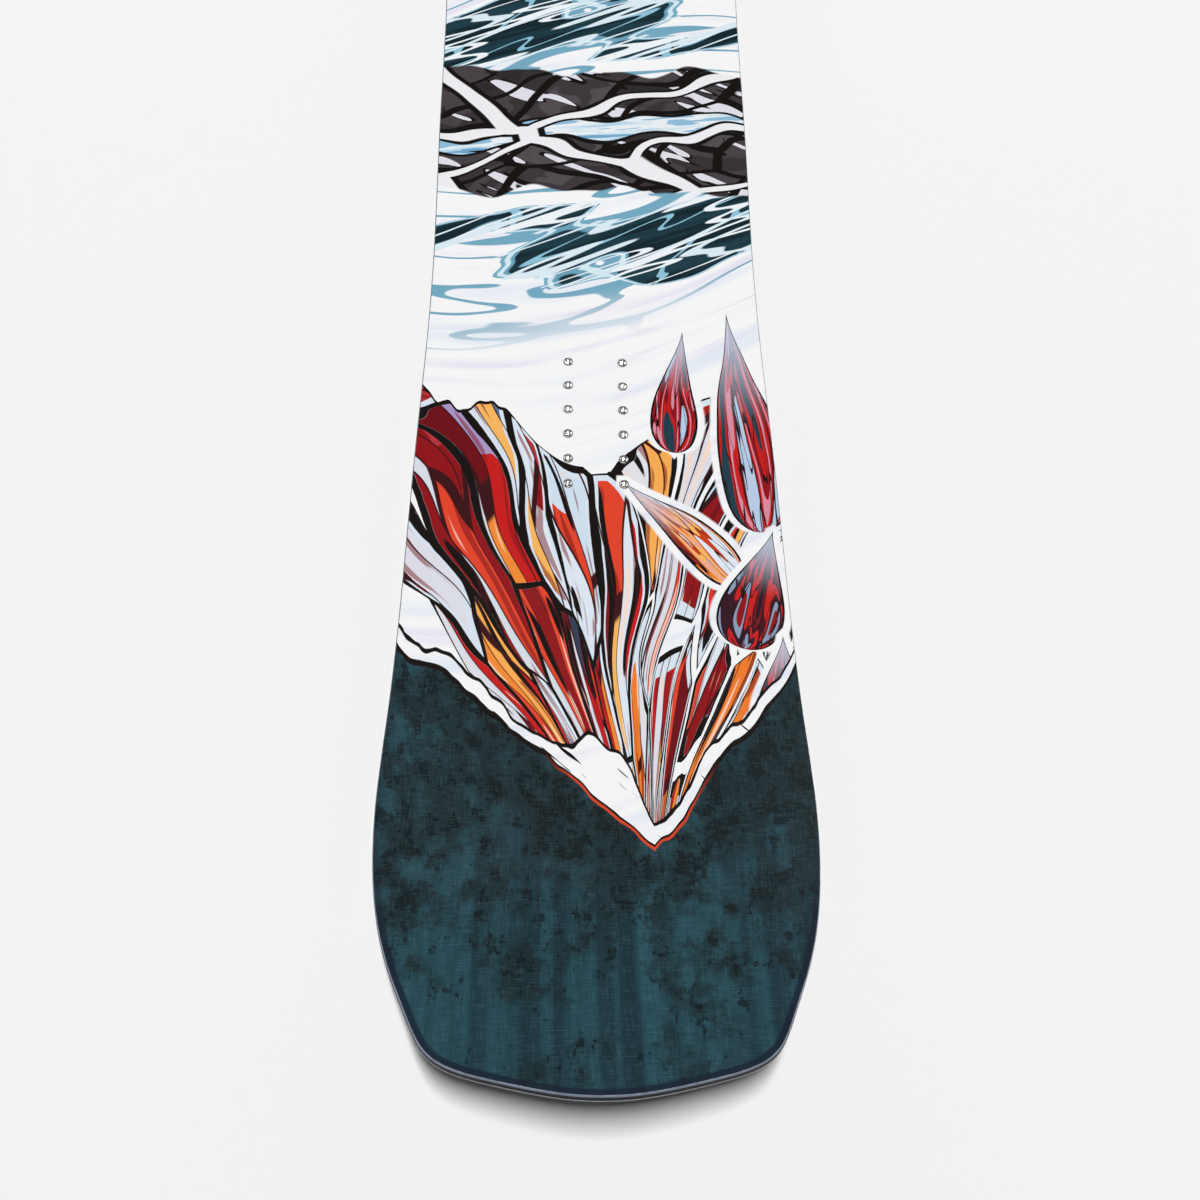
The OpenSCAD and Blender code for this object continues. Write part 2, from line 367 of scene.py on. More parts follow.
class Paint:
    """A material under construction, with x, y and z in millimetres in the frame's axes."""

    def __init__(self, name, **settings):
        self.material = bpy.data.materials.new(name)
        self.material.use_nodes = True
        self.tree = self.material.node_tree
        self.shader = self.tree.nodes["Principled BSDF"]
        for key, value in settings.items():
            self.shader.inputs[key.replace("_", " ")].default_value = value
        place = self.node("ShaderNodeTexCoord").outputs["Object"]
        split = self.node("ShaderNodeSeparateXYZ", (place,))
        self.x, self.y, self.z = (Num(self, s) * 1000 for s in split.outputs)

    def feed(self, socket, value):
        """Links or sets an input: a Num, a node's output, a colour's code or a plain value."""
        value = value.socket if isinstance(value, Num) else value
        if isinstance(value, bpy.types.NodeSocket):
            self.tree.links.new(value, socket)
        else:
            socket.default_value = srgb(value) if isinstance(value, str) else value

    def node(self, kind, inputs=(), **settings):
        made = self.tree.nodes.new(kind)
        for key, value in settings.items():
            setattr(made, key, value)
        for key, value in inputs.items() if isinstance(inputs, dict) else enumerate(inputs):
            self.feed(made.inputs[key], value)
        return made

    def math(self, operation, *values):
        return Num(self, self.node("ShaderNodeMath", values, operation=operation).outputs[0])

    def vector(self, x, y, z=0.0):
        return self.node("ShaderNodeCombineXYZ", (x, y, z)).outputs[0]

    def smooth(self, value, low, high):
        """0 on low's side, 1 on high's side and a smooth step between; low may be the larger."""
        made = self.node("ShaderNodeMapRange", (value, low, high), interpolation_type="SMOOTHSTEP")
        return Num(self, made.outputs[0])

    def noise(self, x, y, z=0.0, detail=2.0, roughness=0.5):
        inputs = {"Vector": self.vector(x, y, z), "Scale": 1.0}
        inputs.update({"Detail": detail, "Roughness": roughness})
        return Num(self, self.node("ShaderNodeTexNoise", inputs).outputs[0])

    def cells(self, x, y):
        """Random cells: three random numbers a cell, its centre and the distance to its edge."""
        kind = "ShaderNodeTexVoronoi"
        inputs = {"Vector": self.vector(x, y), "Scale": 1.0}
        near = self.node(kind, inputs, voronoi_dimensions="2D", feature="F1")
        edge = self.node(kind, inputs, voronoi_dimensions="2D", feature="DISTANCE_TO_EDGE")
        chance = self.node("ShaderNodeSeparateColor", (near.outputs["Color"],))
        centre = self.node("ShaderNodeSeparateXYZ", (near.outputs["Position"],))
        sockets = (*chance.outputs, *centre.outputs[:2], edge.outputs["Distance"])
        return [Num(self, socket) for socket in sockets]

    def mark(self):
        """The value in millimetres that the mesh carries at each corner of its section."""
        made = self.node("ShaderNodeAttribute", attribute_name="mark")
        return Num(self, made.outputs["Fac"])

    def at_tips(self):
        """1 on the two tips of the deck and 0 along its straighter flanks."""
        flank_end, tip_start = 540, 650
        return self.smooth(abs(self.x), flank_end, tip_start)

    def palette(self, value, codes):
        """One of the colours, each with an equal share of the values from 0 to 1."""
        made = self.node("ShaderNodeValToRGB", (value,))
        ramp = made.color_ramp
        ramp.interpolation = "CONSTANT"
        for i, code in enumerate(codes):
            element = ramp.elements[i] if i < 2 else ramp.elements.new(1.0)
            element.position, element.color = i / len(codes), srgb(code)
        return made.outputs[0]

    def mix(self, amount, a, b):
        """Colour a where amount is 0 and b where it is 1."""
        inputs = {0: amount, 6: a, 7: b}
        made = self.node("ShaderNodeMix", inputs, data_type="RGBA", clamp_factor=True)
        return made.outputs[2]

    def colour(self, value):
        self.tree.links.new(value, self.shader.inputs["Base Color"])

    def roughness(self, value):
        self.tree.links.new(value.socket, self.shader.inputs["Roughness"])

    def bump(self, height, depth):
        """Relief from a height: 1 stands depth millimetres above 0."""
        made = self.node(
            "ShaderNodeBump", {"Height": height, "Strength": 1.0, "Distance": depth * MM}
        )
        self.tree.links.new(made.outputs[0], self.shader.inputs["Normal"])


def steel_material():
    """A ground edge: scratches along the rim and dark nicks, on a face painted near black as
    painted shade for the dark reflection it shows, with a bright line along its lower corner that
    is a painted highlight.
    """
    paint = Paint("ground_steel", Metallic=1.0)
    # The bright line along the edge's lower corner is a painted highlight
    highlight_height, highlight_fade = 0.65, 0.15
    corner_highlight = 1 - paint.smooth(paint.mark(), highlight_height, highlight_height + highlight_fade)
    lines = paint.noise(paint.x * 0.12, paint.y * 0.5, paint.z * 9, detail=4, roughness=0.7)
    nicks = paint.smooth(paint.noise(paint.x / 1.6, paint.y / 1.6, paint.z, detail=3), 0.66, 0.72)
    # Painted shade: the steel's face is near black for the dark reflection it shows; the lighter
    # scratch lines in it are real
    colour = paint.mix(lines, "#121316", "#26292d")
    colour = paint.mix(nicks * 0.7, colour, "#24211f")
    paint.colour(paint.mix(corner_highlight, colour, "#a9acb0"))
    paint.roughness(0.2 + lines * 0.15 + nicks * 0.2)
    paint.bump(lines - nicks * 0.6, 0.03)
    return paint.material


def rubber_material():
    paint = Paint("foil_rubber", Roughness=0.85)
    grain = paint.noise(paint.x * 2, paint.y * 2, paint.z * 2, detail=3)
    paint.colour(paint.mix(grain, "#141211", "#262321"))
    paint.bump(grain, 0.05)
    return paint.material


def base_material():
    """Sintered polyethylene: lengthwise ground structure, faint clouds and wax haze."""
    paint = Paint("sintered_base")
    structure = paint.noise(paint.y * 2.2, paint.x / 60, detail=3, roughness=0.65)
    cross = paint.noise(paint.y * 1.1 + paint.x * 0.12, paint.x / 90, 4.0, detail=2)
    haze = paint.noise(paint.x / 70, paint.y / 40, 9.0, detail=4)
    colour = paint.mix(structure, "#101214", "#1d2023")
    paint.colour(paint.mix(paint.smooth(haze, 0.5, 0.8) * 0.4, colour, "#2c3033"))
    paint.roughness(0.34 + haze * 0.22 + structure * 0.08)
    paint.bump(structure + cross * 0.6, 0.06)
    return paint.material


def glass_material(name, dark, light):
    """Woven glass in tinted epoxy: crossed rovings under resin."""
    paint = Paint(name, Roughness=0.38, Specular_IOR_Level=0.25)
    warp = paint.math("SINE", paint.x * 2.6) * paint.math("SINE", paint.y * 2.6)
    fibre = paint.noise(paint.x * 5, paint.y * 0.7, detail=2)
    fill = paint.noise(paint.x * 0.7, paint.y * 5, 3.0, detail=2)
    cloud = paint.noise(paint.x / 30, paint.y / 30, detail=3)
    strand = paint.smooth(warp, -0.2, 0.2)
    colour = paint.mix(fibre * strand + fill * (1 - strand), dark, light)
    colour = paint.mix(cloud * 0.3, colour, dark)
    paint.colour(paint.mix(paint.at_tips() * 0.6 + 0.4, "#1c1d21", colour))
    paint.bump(warp * 0.5 + fibre * 0.3, 0.08)
    return paint.material


def sanded_material(name, dark, light, chamfer):
    """Plastic sanded along the rim, with grey dust in its scratches and a paler chamfer on top."""
    paint = Paint(name, Specular_IOR_Level=0.35)
    lines = paint.noise(paint.x * 0.25, paint.y * 0.25, paint.z * 7, detail=4, roughness=0.7)
    dust = paint.smooth(paint.noise(paint.x / 2, paint.y / 2, paint.z, detail=4), 0.62, 0.8)
    colour = paint.mix(lines, dark, light)
    colour = paint.mix(dust * 0.35, colour, "#4d4f54")
    # The pale part is the chamfer's upper half
    foot, top = (corner[1] / MM for corner in wall_corners[1:3])
    cut = paint.smooth((paint.mark() - foot) / (top - foot), 0.45, 0.6)
    paint.colour(paint.mix(cut * (0.8 + 0.2 * lines), colour, chamfer))
    paint.roughness(0.42 + lines * 0.2 + dust * 0.2)
    paint.bump(lines, 0.04)
    return paint.material


def bevel_material():
    """The topsheet's bevelled cut: patchy grey film with sanding lines and a few nicks."""
    paint = Paint("topsheet_cut", Roughness=0.45)
    lines = paint.noise(paint.x * 0.4, paint.y * 0.4, paint.z * 8, detail=4)
    patches = paint.noise(paint.x / 9, paint.y / 9, 5.0, detail=3)
    nicks = paint.noise(paint.x / 2.4, paint.y / 2.4, 2.0, detail=4)
    colour = paint.mix(lines, "#646c80", "#a8b0c2")
    colour = paint.mix(paint.smooth(patches, 0.58, 0.4) * 0.45, colour, "#4a5060")
    colour = paint.mix(paint.smooth(nicks, 0.66, 0.71), colour, "#e6e6ea")
    colour = paint.mix(paint.smooth(nicks, 0.36, 0.3), colour, "#3a3d46")
    paint.colour(paint.mix(paint.at_tips() * 0.8 + 0.2, "#1f2126", colour))
    paint.bump(lines, 0.03)
    return paint.material


def wood_material(name, pale, dark):
    """Planed wood with its grain along the deck and long vessel lines."""
    paint = Paint(name, Roughness=0.6)
    bend = paint.noise(paint.x / 160, paint.y / 20, paint.z / 20, detail=1) * 9
    rings = paint.noise(paint.x / 420, paint.y / 2.6 + bend, paint.z / 2.6, detail=3)
    pores = paint.noise(paint.x / 6, paint.y * 3, paint.z * 3, detail=2)
    colour = paint.mix(paint.smooth(rings, 0.3, 0.7), pale, dark)
    paint.colour(paint.mix(paint.smooth(pores, 0.6, 0.75) * 0.5, colour, "#6b4a2a"))
    paint.bump(rings + pores * 0.4, 0.08)
    return paint.material


def cap_material():
    paint = Paint("cap_plastic", Roughness=0.42)
    mottle = paint.noise(paint.x / 3, paint.y / 3, paint.z / 3, detail=3)
    paint.colour(paint.mix(mottle, "#d3cfc0", "#efece2"))
    paint.bump(paint.noise(paint.x * 2, paint.y * 2, paint.z * 2), 0.02)
    return paint.material


def insert_material():
    """Turned stainless steel: fine tool marks across its height and light tarnish."""
    paint = Paint("turned_steel", Metallic=0.95)
    turned = paint.noise(paint.x / 8, paint.y / 8, paint.z * 8, detail=2)
    tarnish = paint.noise(paint.x / 2, paint.y / 2, paint.z / 2, detail=3)
    paint.colour(paint.mix(tarnish, "#a9a8a5", "#dcdbd8"))
    paint.roughness(0.22 + turned * 0.16)
    paint.bump(turned, 0.015)
    return paint.material


def floor_material():
    """Matte card with the faintest tooth."""
    paint = Paint("studio_floor", Roughness=0.95, Specular_IOR_Level=0.0)
    tooth = paint.noise(paint.x / 2, paint.y / 2, detail=2)
    paint.colour(paint.mix(tooth, "#f0f0f0", "#f2f2f2"))
    return paint.material


# ---- The printed pattern: bands of painted shapes, the same towards both ends ----

# Places in millimetres: x from the middle of the deck, y to the right of its centre line as
# seen from the nearer end
ROCKS_END = 85
RIVER_X, RIVER_REACH = 106, 44
SKYLINE_X, SKYLINE_Y = 300, 10
POINT_X, POINT_Y = 574, 36
FAN_X, FAN_Y = 640, 30
STRANDS_PER_RADIAN, STRAND_LENGTH = 16, 120
INK, STONE_INK = "#17110f", "#15110f"
SHORE_BLUE, PALE_ICE, LEAF_PALE = "#74a9c1", "#d3e8f1", "#dfe8f2"
RED_LEAF = ["#233d4b", "#c51c1c", "#8f1219", "#d98a9c", "#c8201d", "#5a0f18", "#b8cbe4"]
WINE_LEAF = ["#2a1220", "#7c1220", "#451019", "#c8201d", "#341522", "#8a99b5", "#8f1219"]
GOLD_LEAF = ["#8f2a1c", "#ef7c2b", "#f8ac54", "#e4a8a0", "#f7b661", "#c8401d", LEAF_PALE]
# Each lone leaf's place, half its length and width, its turn in degrees and its colours
LONE_LEAVES = (
    ((240, 60), (52, 18), -5, RED_LEAF),
    ((262, 108), (92, 25), 6, RED_LEAF),
    ((352, 60), (56, 16), 46, GOLD_LEAF),
    ((396, 112), (46, 24), -16, WINE_LEAF),
    ((468, 128), (38, 20), 0, RED_LEAF),
)


def near_zero(paint, value, width, soft=0.3):
    """1 within width of zero and 0 beyond, with a soft edge."""
    return 1 - paint.smooth(abs(value), width * (1 - soft), width)


def snow(paint, x, y):
    """White with faint streaks of pale blue and lilac that sweep across the deck."""
    across = x + y * 0.3 + y * y / 700
    blue = paint.smooth(paint.noise(across / 22, y / 260, 1.3, detail=3), 0.5, 0.75)
    lilac = paint.smooth(paint.noise(across / 14, y / 200, 7.9, detail=3), 0.52, 0.8)
    colour = paint.mix(blue * 0.65, "#f7f7f8", "#d3e0f1")
    colour = paint.mix(lilac * 0.8, colour, "#dad8ee")
    # Loose strands of water blue run out of the river band
    field = paint.noise(across / 30, y / 240, 4.1, detail=1.5)
    thread = near_zero(paint, field - 0.5, 0.015) * (1 - paint.smooth(x + y * 0.25, 150, 205))
    return paint.mix(thread, colour, SHORE_BLUE)


def river(paint, x, y, under):
    """Dark water lenses rimmed with ice blue, over the snow."""
    field = paint.noise((x + y * 0.38) / 34, y / 130, 2.2, detail=1.2)
    band = 1 - ((x + y * 0.14 - RIVER_X) / RIVER_REACH) ** 2
    level = field + band * 0.3 - 0.22
    colour = under
    shores = ((0.45, SHORE_BLUE), (0.46, PALE_ICE), (0.473, "#6b9fb8"), (0.483, "#14272e"))
    for low, code in shores:
        colour = paint.mix(paint.smooth(level, low, low + 0.004), colour, code)
    depth = paint.noise((x + y * 0.38) / 9, y / 150, 5.5, detail=2)
    deep = paint.smooth(level, 0.483, 0.487) * paint.smooth(depth, 0.42, 0.62)
    colour = paint.mix(deep, colour, "#1f3e49")
    # Three sets of fine bars lie across the water
    bars = (
        # slant, width, length, seed, crest, line, shore, colour
        (0.62, 24, 150, 8.4, 0.47, 0.012, 0.45, "#8fc2d8"),
        (0.42, 16, 190, 12.6, 0.56, 0.022, 0.43, "#eef4f8"),
        (0.5, 20, 210, 17.1, 0.5, 0.03, 0.43, "#dcebf3"),
    )
    for slant, width, length, seed, crest, line, shore, code in bars:
        wave = paint.noise((x + y * slant) / width, y / length, seed, detail=1)
        bar = near_zero(paint, wave - crest, line) * paint.smooth(level, shore, shore + 0.01)
        colour = paint.mix(bar, colour, code)
    return colour


def stones(paint, x, y, across, pick):
    """Grey stones cut up by ink lines, with inked shadows and white strokes."""
    inner_pick, tone, _, _, _, ink = paint.cells(across * 2.1 + y / 190 + pick * 5, y / 62)
    stone = paint.palette(tone, ["#484246", "#3f393c", "#524c50", "#353031"])
    shade = paint.smooth(paint.noise(across * 3, y / 40, 2.0, detail=1), 0.5, 0.53)
    stone = paint.mix(shade * 0.6, stone, "#2a2325")
    stroke = paint.noise((x - y * 0.45) / 11, (y + x * 0.4) / 60, 9.3, detail=1)
    stone = paint.mix(paint.smooth(stroke, 0.565, 0.575), stone, STONE_INK)
    stone = paint.mix(paint.smooth(stroke, 0.595, 0.605), stone, "#e0dfe8")
    line = 0.05 + 0.07 * inner_pick
    return paint.mix(1 - paint.smooth(ink, line * 0.8, line), stone, STONE_INK)


def rocks(paint, x, y):
    """Banks of stones with inked outlines, between bands of ice."""
    bend = paint.noise(x / 70, y / 90, 6.0, detail=1)
    across = (x + y * 0.16) / 60 + bend
    pick, _, _, _, _, bank = paint.cells(across, y / 175 + 3.4)
    water = paint.noise((x + y * 0.12) / 9, y / 120, 3.3, detail=2)
    ice_codes = [STONE_INK, "#6fa5cc", "#b5d6ea", "#d5e6ef", "#e9eff3", "#8fbcd9"]
    ice = paint.palette(paint.smooth(water, 0.3, 0.7), ice_codes)
    middle = abs(x + y * 0.1 + (bend - 0.5) * 60)
    icy = paint.math("MAXIMUM", pick < 0.15, middle < 9)
    colour = paint.mix(icy, stones(paint, x, y, across, pick), ice)
    colour = paint.mix(near_zero(paint, middle - 10, 1.6), colour, STONE_INK)
    colour = paint.mix(paint.smooth(bank, 0.07, 0.078), STONE_INK, colour)
    return paint.mix(paint.smooth(bank, 0.038, 0.046), "#eeeef1", colour)


def fan(paint, x, y):
    """Places across and along the strands, which fan out from beyond the point of the band."""
    back, side = FAN_X - x, y - FAN_Y
    distance = paint.math("SQRT", back * back + side * side)
    angle = paint.math("ARCTAN2", side, back)
    bend = paint.noise(x / 190, y / 150, 3.7, detail=1) - 0.5
    turn = angle / (1 + 0.55 * (distance / 300) ** 2) + bend * 0.28
    return turn * STRANDS_PER_RADIAN, distance / STRAND_LENGTH + bend * 2


def strand_colour(paint, across, along, pick, tone, cool):
    """A strand's colour, cut up by finer strands, hairs and folds, and how far its veins are."""
    warm_codes = [
        "#c8201d", "#ef7c2b", "#d8331f", "#f8ac54", "#8f1219", "#e4532a", "#c51c1c", "#dfa7a8",
    ]
    cold_codes = ["#4d6c96", "#e3c3c8", "#cfe0ee", "#b8333a", "#2f4666", "#a896c6"]
    fleck_codes = [
        "#f08a35", "#6d0f17", "#f7b661", "#c11a1c", "#2b3f58", "#e0442b", LEAF_PALE, "#8a99b5",
    ]
    warm, cold = paint.palette(tone, warm_codes), paint.palette(tone, cold_codes)
    colour = paint.mix(pick < cool, warm, cold)
    finer_across, finer_along = across * 2.7 + pick * 9, along * 0.9 + tone * 5
    finer_pick, finer_tone, _, _, _, vein = paint.cells(finer_across, finer_along)
    fleck = paint.palette(finer_tone, fleck_codes)
    colour = paint.mix(finer_pick < 0.5 - cool * 0.4, colour, fleck)
    colour = paint.mix((finer_pick > 0.8) * 0.9, colour, LEAF_PALE)
    hair = paint.noise(across * 5 + finer_tone * 7, along * 1.3, 4.4, detail=1)
    colour = paint.mix(paint.smooth(hair, 0.64, 0.67) * 0.75, colour, "#fbd9c0")
    colour = paint.mix(paint.smooth(hair, 0.4, 0.37) * 0.7, colour, "#8a1418")
    fold = paint.noise(across * 2.2, along * 0.8, 8.8, detail=1)
    return paint.mix(paint.smooth(fold, 0.62, 0.63), colour, INK), vein


def below_skyline(paint, x, y):
    """How far a place lies below the ragged skyline along which the strands begin."""
    wander = (paint.noise(y / 34, 4.0, 1.5, detail=2) - 0.5) * 70
    left_fall = paint.math("MAXIMUM", SKYLINE_Y - y, 0) * 0.42
    right_fall = paint.math("MAXIMUM", y - SKYLINE_Y, 0) * 0.8
    return x - (SKYLINE_X - left_fall - right_fall + wander)


def strands(paint, x, y, under, snowy):
    """Warm leaf-shaped strands with inked outlines, coolest close to the skyline."""
    depth = below_skyline(paint, x, y)
    cool = 0.12 + 0.75 * paint.smooth(depth, 85, 20) * paint.smooth(y, 60, -10)
    across, along = fan(paint, x, y)
    pick, tone, hide, middle_across, middle_along, ink = paint.cells(across, along)
    colour, vein = strand_colour(paint, across, along, pick, tone, cool)
    # The ink thins out where one strand ends against the next
    ends = abs(along - middle_along) - abs(across - middle_across)
    blunt = paint.smooth(ends, -0.15, 0.2)
    # Towards the right of the band they stand apart, as single leaves on the snow
    apart = paint.smooth(y, 15, 80)
    gap = apart * (0.03 + 0.07 * paint.noise(x / 40, y / 40, 2.4)) * (1 - 0.4 * blunt)
    width = gap + (0.045 + 0.1 * paint.noise(x / 30, y / 30, 0.4)) * (1 - 0.8 * blunt)
    pale = width + 0.05 * (hide > 0.45)
    colour = paint.mix(1 - paint.smooth(ink, pale * 0.96, pale), colour, "#d9e4f0")
    colour = paint.mix(1 - paint.smooth(vein, 0.03, 0.045), colour, "#3a1216")
    colour = paint.mix(1 - paint.smooth(ink, width * 0.94, width), colour, INK)
    colour = paint.mix(depth < 2.5, colour, INK)
    colour = paint.mix((ink < gap) * (apart > 0.05), colour, snowy)
    # They end at ragged lengths, the outer ones further out, and some are left out
    reach = 370 + 1200 * (middle_across / STRANDS_PER_RADIAN) ** 2 + (hide - 0.5) * 90
    colour = paint.mix(hide < 0.07 + 0.17 * apart, colour, snowy)
    shown = (middle_along * STRAND_LENGTH < reach) * (depth > 0)
    return paint.mix(shown, under, colour)


def lone_leaf(paint, x, y, under, snowy, place, size, turn, codes):
    """A big striped leaf alone on the snow: pointed away from the tip and round towards it."""
    cos, sin = math.cos(math.radians(turn)), math.sin(math.radians(turn))
    back, side = x - place[0], y - place[1]
    reach = (back * cos + side * sin) / size[0]
    wander = (paint.noise(x / 90, y / 90, place[1], detail=1) - 0.5) * 12
    across = side * cos - back * sin + wander
    # A drop's outline, with the factor that makes it as wide as its size says
    drop_factor = 0.77
    bulge = paint.math("SQRT", paint.math("MAXIMUM", 1 - reach * reach, 0))
    belly = (1 + reach) * bulge * drop_factor * size[1]
    inside = belly - abs(across) - paint.math("MAXIMUM", abs(reach) - 1, 0) * size[0]
    stripe = paint.noise(across / belly * 1.9, reach * 0.6, place[0], detail=1)
    leaf = paint.palette(paint.smooth(stripe, 0.25, 0.75), codes)
    vein = near_zero(paint, paint.noise(across / 6, reach * 0.9, place[1], detail=1) - 0.5, 0.018)
    leaf = paint.mix(vein, leaf, "#1d1014")
    leaf = paint.mix(paint.smooth(reach, 0.15, -0.9) * 0.75, leaf, "#c9d8ec")
    line = 0.5 + 1.1 * paint.smooth(reach, -0.7, 0.3)
    leaf = paint.mix(inside < line, leaf, INK)
    ground = paint.mix(paint.smooth(inside, -6, -4), under, snowy)
    return paint.mix(inside > 0, ground, leaf)


def dusk(paint, x, y):
    """Dark teal, clouded and speckled, with streaks along the deck."""
    streak = paint.noise(y / 15, x / 900, 2.2, detail=3)
    colour = paint.mix(paint.smooth(streak, 0.38, 0.64), "#1c333c", "#284a55")
    glow = paint.noise(y / 24, x / 700, 5.2, detail=1)
    lit = paint.smooth(x, 570, 640) * (0.5 - 0.3 * paint.smooth(x, 650, 710))
    colour = paint.mix(paint.smooth(glow, 0.5, 0.62) * lit, colour, "#305a66")
    # The clouds, the blots and the spatter are thickest next to the band
    near_band = 1 - paint.smooth(x, 560, 690)
    cloud = paint.noise(x / 30, y / 30, 6.6, detail=7, roughness=0.65)
    clouded = paint.smooth(cloud + near_band * 0.14, 0.5, 0.68)
    colour = paint.mix(clouded * 0.9, colour, "#1b2a2d")
    blot = paint.noise(x / 13, y / 13, 9.7, detail=4, roughness=0.7)
    blotted = paint.smooth(blot + cloud * 0.35 + near_band * 0.09, 0.79, 0.85)
    colour = paint.mix(blotted * 0.75, colour, "#0f1719")
    specks = paint.noise(x / 3.6, y / 3.6, 1.7, detail=2)
    spatter = paint.smooth(specks + cloud * 0.5 + near_band * 0.05, 0.94, 0.98)
    return paint.mix(spatter * 0.8, colour, "#131d20")


def linen(paint, colour):
    """The weave of the cloth under the film: fine threads along and across the deck."""
    along = paint.noise(paint.x / 11, paint.y * 1.15, 3.0, detail=1)
    cross = paint.noise(paint.x * 1.15, paint.y / 11, 6.0, detail=1)
    thread = along + cross
    colour = paint.mix(paint.smooth(thread, 1.0, 0.72) * 0.2, colour, "#0c1518")
    return paint.mix(paint.smooth(thread, 1.02, 1.3) * 0.08, colour, "#6f98a0")


def pointed_end(paint, x, y, colour, snowy):
    """Cuts the band to a slanting point, with a snowy rim, an inked outline and dusk beyond."""
    off = y - POINT_Y
    wobble = (paint.noise(y / 38, 2.0, x / 90, detail=2) - 0.5) * 40
    fall = paint.math("MAXIMUM", off * -0.8, off * 1.2)
    inside = (POINT_X - fall + wobble - x) * 0.78
    crust = 1 + 24 * near_zero(paint, off + 30, 40, 0.9) + 15 * paint.noise(y / 22, 8.0, x / 60)
    marks = paint.noise((x - y * 0.9) / 5, (y + x * 0.9) / 60, 3.1, detail=1)
    crusty = paint.mix(paint.smooth(marks, 0.68, 0.7), snowy, INK)
    colour = paint.mix(1 - paint.smooth(inside, crust + 1.8, crust + 2.2), colour, INK)
    colour = paint.mix(1 - paint.smooth(inside, crust - 0.4, crust), colour, crusty)
    colour = paint.mix(inside < 1.4, colour, INK)
    ember = near_zero(paint, off + 14, 60, 0.5)
    colour = paint.mix((inside < 0) * ember, colour, "#d2452a")
    return paint.mix(inside < -1.8, colour, linen(paint, dusk(paint, x, y)))


def print_colour(paint):
    """The topsheet's whole pattern."""
    x = abs(paint.x)
    y = paint.y * paint.math("SIGN", paint.x)
    snowy = snow(paint, x, y)
    colour = strands(paint, x, y, river(paint, x, y, snowy), snowy)
    for leaf in LONE_LEAVES:
        colour = lone_leaf(paint, x, y, colour, snowy, *leaf)
    colour = pointed_end(paint, x, y, colour, snowy)
    # The ends darken to navy along the rim, where the film bends over the bevel
    border = (1 - paint.smooth(paint.mark(), 4.0, 5.8)) * paint.smooth(x, 560, 640)
    colour = paint.mix(border * 0.85, colour, "#17202f")
    wave = paint.noise(y / 60, 1.0, 5.0, detail=1) * 50
    beyond_rocks = paint.smooth(x + wave, ROCKS_END, ROCKS_END + 2)
    return paint.mix(beyond_rocks, rocks(paint, paint.x, paint.y), colour)


def make_print_paint():
    paint = Paint("topsheet_print", Roughness=0.25)
    paint.colour(print_colour(paint))
    return paint.material


# ---- Pieces ----


def with_joint(stations, u, first):
    """The stations with a square one added where the core ends."""
    y = np.interp(abs(u), rim.u, rim.y)
    end = Rim(np.array([u]), np.array([y]), np.array([0.0]), np.array([-1.0]))
    pair = (end, stations) if first else (stations, end)
    return Rim(*(np.concatenate([getattr(p, k) for p in pair]) for k in vars(end)))


def mirrored(stations):
    return Rim(
        -stations.u[::-1], stations.y[::-1], -stations.inward_u[::-1], stations.inward_y[::-1]
    )


nose_rim = with_joint(rim.part(rim.u > core_u + MM), core_u, True)
core_rim = rim.part(abs(rim.u) < core_u - MM)
core_rim = with_joint(with_joint(core_rim, core_u, False), -core_u, True)


def finish_piece(mesh, node, slot, *materials):
    piece = new_piece(mesh.name, mesh, *materials)
    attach(piece, "root")
    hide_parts(node)
    return piece


def build_running_side():
    chamfer = 0.15 * MM
    steel = [
        (chamfer, 0), (0, chamfer), (0, edge_h - chamfer), (chamfer, edge_h),
        (flange_w, edge_h), (flange_w, base_t), (edge_w, base_t), (edge_w, 0),
    ]
    foil = [(foot_in, edge_h), (foot_in, foil_top), (flange_w, foil_top), (flange_w, edge_h)]
    for name, side in (("left", 1), ("right", -1)):
        finish_piece(
            rim_strip(f"ground_edge_{name}", steel, rim, side),
            f"steel_edge_{name}", "edge_steel", steel_paint,
        )
        finish_piece(
            rim_strip(f"foil_strip_{name}", foil, rim, side),
            f"rubber_foil_{name}", "edge_rubber", rubber_paint,
        )
    finish_piece(
        layer("running_base", [(edge_w, 0), (edge_w, base_t)], rim),
        "base", "running_base", base_paint,
    )
    drape = [(flange_w, base_t), (flange_w, foil_top), (foot_in, foil_top), (foot_in, core_base)]
    finish_piece(
        layer("glass_lower", drape, rim), "lower_laminate", "glass_laminate", lower_glass_paint
    )


def build_walls():
    wall = wall_corners + [(wall_w, wall_corners[-1][1]), (wall_w, core_base)]
    for name, side in (("left", 1), ("right", -1)):
        finish_piece(
            rim_strip(f"wall_{name}", wall, core_rim, side),
            f"sidewall_{name}", "sidewall_plastic", wall_paint,
        )
    for name, stations in (("nose", nose_rim), ("tail", mirrored(nose_rim))):
        finish_piece(
            layer(f"spacer_{name}", wall_corners, stations),
            f"tip_spacer_{name}", "spacer_plastic", spacer_paint,
        )


def insert_places():
    """The centres of all the inserts, from the record's mounts."""
    found = set()
    for mount in frame["record"]["mounts"]:
        half_x = mount["dims"]["spacing_x_mm"] * MM / 2
        half_y = mount["dims"]["spacing_y_mm"] * MM / 2
        for dx in (-half_x, half_x):
            for dy in (-half_y, half_y):
                found.add((round(mount["pos_m"][0] + dx, 5), round(dy, 5)))
    return sorted(found)


